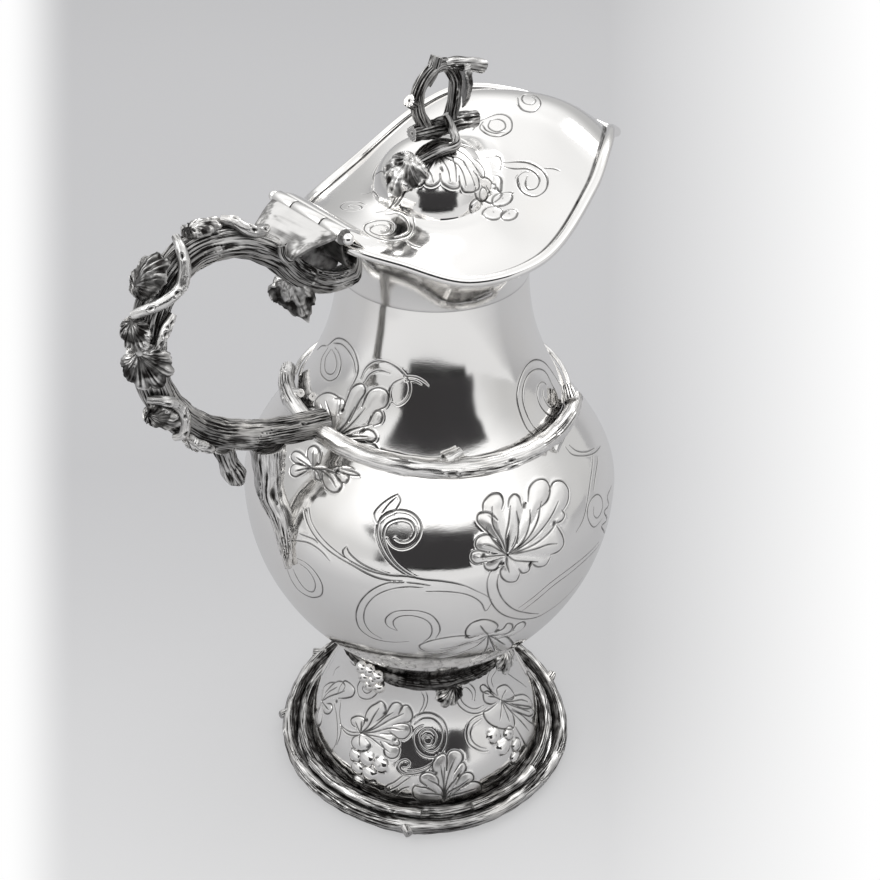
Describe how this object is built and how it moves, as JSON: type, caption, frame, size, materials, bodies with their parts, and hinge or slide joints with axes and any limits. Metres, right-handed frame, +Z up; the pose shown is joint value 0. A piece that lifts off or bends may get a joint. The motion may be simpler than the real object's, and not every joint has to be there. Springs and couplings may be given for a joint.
{
  "type": "wine flagon",
  "caption": "Footed silver wine flagon with a hinged lid, looped finial, bark handle and twig, leaf and grape ornament.",
  "frame": {"origin": "under the middle of the object's bounding box, on the surface that it stands on; the vessel's axis is 16.1 mm further to +X", "axes": "+Z up along the vessel's axis, +X towards the tip of the spout, -X towards the handle, the hinge pin along Y"},
  "size_m": [0.2074, 0.142, 0.3045],
  "materials": {
    "polished_silver": "polished silver",
    "oxidised_bark": "cast silver with dark recesses",
    "cast_leaf": "chased cast silver, rubbed bright on top"
  },
  "bodies": {
    "flagon": {"body_shell": "polished_silver", "foot_shell": "polished_silver", "stem_collar": "polished_silver", "mouth_bowl": "polished_silver", "rim_wire": "polished_silver", "hinge_bracket": "polished_silver", "hinge_pin": "polished_silver", "foot_outer_twig": "oxidised_bark", "foot_inner_twig": "oxidised_bark", "foot_branch_left": "oxidised_bark", "foot_branch_right": "oxidised_bark", "collar_twig": "oxidised_bark", "shoulder_twig": "oxidised_bark", "handle_branch": "oxidised_bark", "handle_spur": "oxidised_bark", "handle_stub": "oxidised_bark", "handle_vine_top": "oxidised_bark", "handle_vine_upper": "oxidised_bark", "handle_vine_middle": "oxidised_bark", "handle_vine_lower": "oxidised_bark", "collar_grapes": "cast_leaf", "collar_leaf_front": "cast_leaf", "collar_leaf_side": "cast_leaf", "handle_leaf_crest": "cast_leaf", "handle_leaf_top": "cast_leaf", "handle_leaf_upper": "cast_leaf", "handle_leaf_middle": "cast_leaf", "handle_leaf_lower": "cast_leaf", "handle_pod": "cast_leaf", "handle_leaf_hanging": "cast_leaf"},
    "lid": {"lid_hood": "polished_silver", "lid_hinge_leaf": "polished_silver", "finial_base_twig": "oxidised_bark", "finial_loop": "oxidised_bark", "finial_leaf": "cast_leaf", "finial_tendril": "oxidised_bark", "finial_hanging_leaf": "cast_leaf"}
  },
  "joints": [
    {"name": "lid_hinge", "type": "hinge", "parent": "flagon", "child": "lid", "pos_m": [-0.03488, 0, 0.2639], "axis": [0, -1, 0], "range_deg": [0, 100]}
  ]
}
